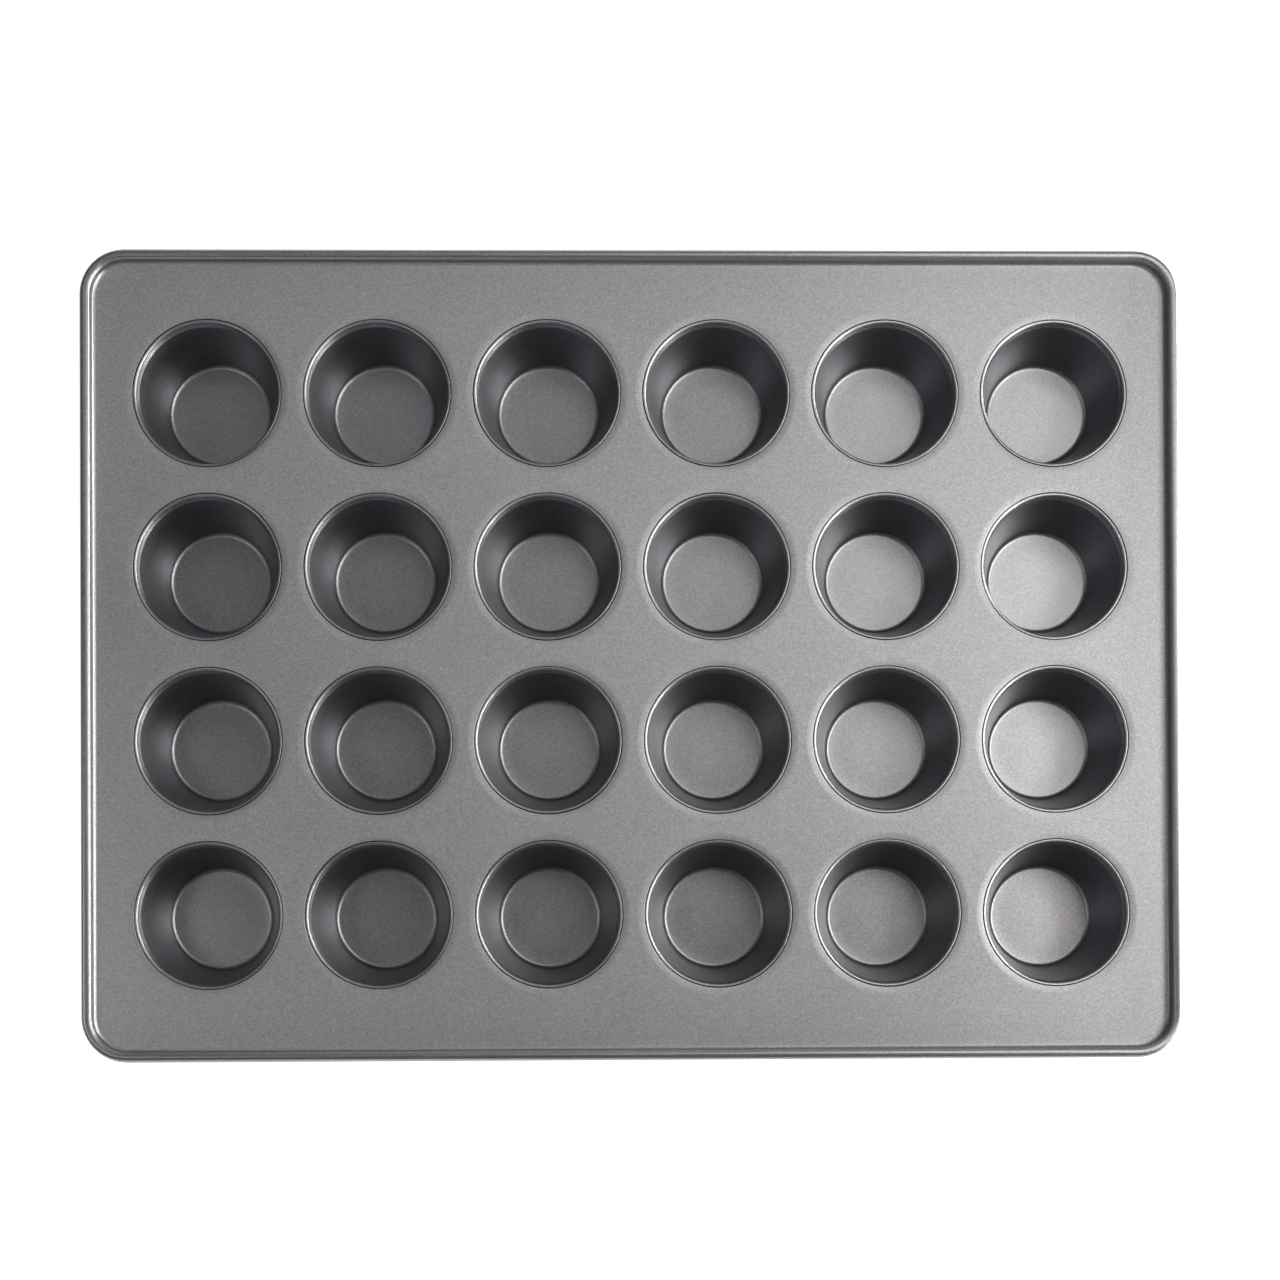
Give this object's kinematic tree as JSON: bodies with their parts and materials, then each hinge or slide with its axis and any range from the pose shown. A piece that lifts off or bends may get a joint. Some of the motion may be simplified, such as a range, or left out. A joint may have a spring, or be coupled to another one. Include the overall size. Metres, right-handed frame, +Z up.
{
  "type": "muffin tin",
  "caption": "Large flat-topped muffin tin with separately drawn tapered cups swaged into a sheet with a wired rolled rim.",
  "frame": {"origin": "on the surface that the tin stands on, under the middle of its rectangular outline", "axes": "+Z up out of the cups, +X along the long side, +Y towards the back edge"},
  "size_m": [0.529, 0.39, 0.0411],
  "materials": {
    "coated_steel": "satin dark grey metallic non-stick coating with a fine sparkle",
    "rim_wire_steel": "plain drawn steel wire"
  },
  "bodies": {
    "root": {"top_sheet": "coated_steel", "rim_wire": "rim_wire_steel", "cup_r1c1": "coated_steel", "cup_r1c2": "coated_steel", "cup_r1c3": "coated_steel", "cup_r1c4": "coated_steel", "cup_r1c5": "coated_steel", "cup_r1c6": "coated_steel", "cup_r2c1": "coated_steel", "cup_r2c2": "coated_steel", "cup_r2c3": "coated_steel", "cup_r2c4": "coated_steel", "cup_r2c5": "coated_steel", "cup_r2c6": "coated_steel", "cup_r3c1": "coated_steel", "cup_r3c2": "coated_steel", "cup_r3c3": "coated_steel", "cup_r3c4": "coated_steel", "cup_r3c5": "coated_steel", "cup_r3c6": "coated_steel", "cup_r4c1": "coated_steel", "cup_r4c2": "coated_steel", "cup_r4c3": "coated_steel", "cup_r4c4": "coated_steel", "cup_r4c5": "coated_steel", "cup_r4c6": "coated_steel"}
  },
  "joints": []
}
